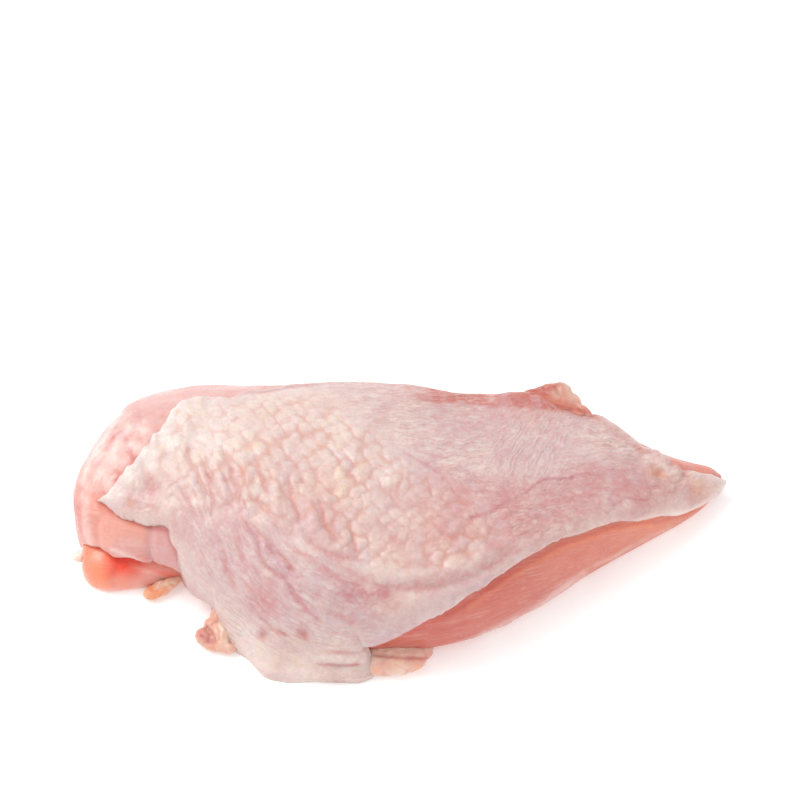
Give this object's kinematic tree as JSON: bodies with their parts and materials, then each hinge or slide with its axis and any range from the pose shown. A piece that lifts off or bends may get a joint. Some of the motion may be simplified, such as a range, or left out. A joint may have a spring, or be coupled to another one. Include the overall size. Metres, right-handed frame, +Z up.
{
  "type": "raw chicken breast",
  "caption": "Raw chicken breast half with its skin on, off the bone, lying skin side up with the inner fillet's end showing.",
  "frame": {"origin": "middle of the outline, at the level of the surface that the breast lies on", "axes": "+X along the breast towards its pointed end, +Y away from the thick keel side, +Z up through the skin"},
  "size_m": [0.1909, 0.0971, 0.0358],
  "materials": {
    "raw_meat": "wet, soft and slightly translucent raw meat",
    "raw_fillet": "wet raw meat, more orange",
    "raw_skin": "moist, bumpy pale pink skin",
    "raw_fat": "moist fat and membrane"
  },
  "bodies": {
    "root": {"breast_meat": "raw_meat", "inner_fillet": "raw_fillet", "skin": "raw_skin", "fat_tag_left": "raw_fat", "fat_tag_corner": "raw_fat", "fat_tag_front": "raw_fat", "fat_tag_back": "raw_fat", "fat_tag_end": "raw_fat"}
  },
  "joints": []
}
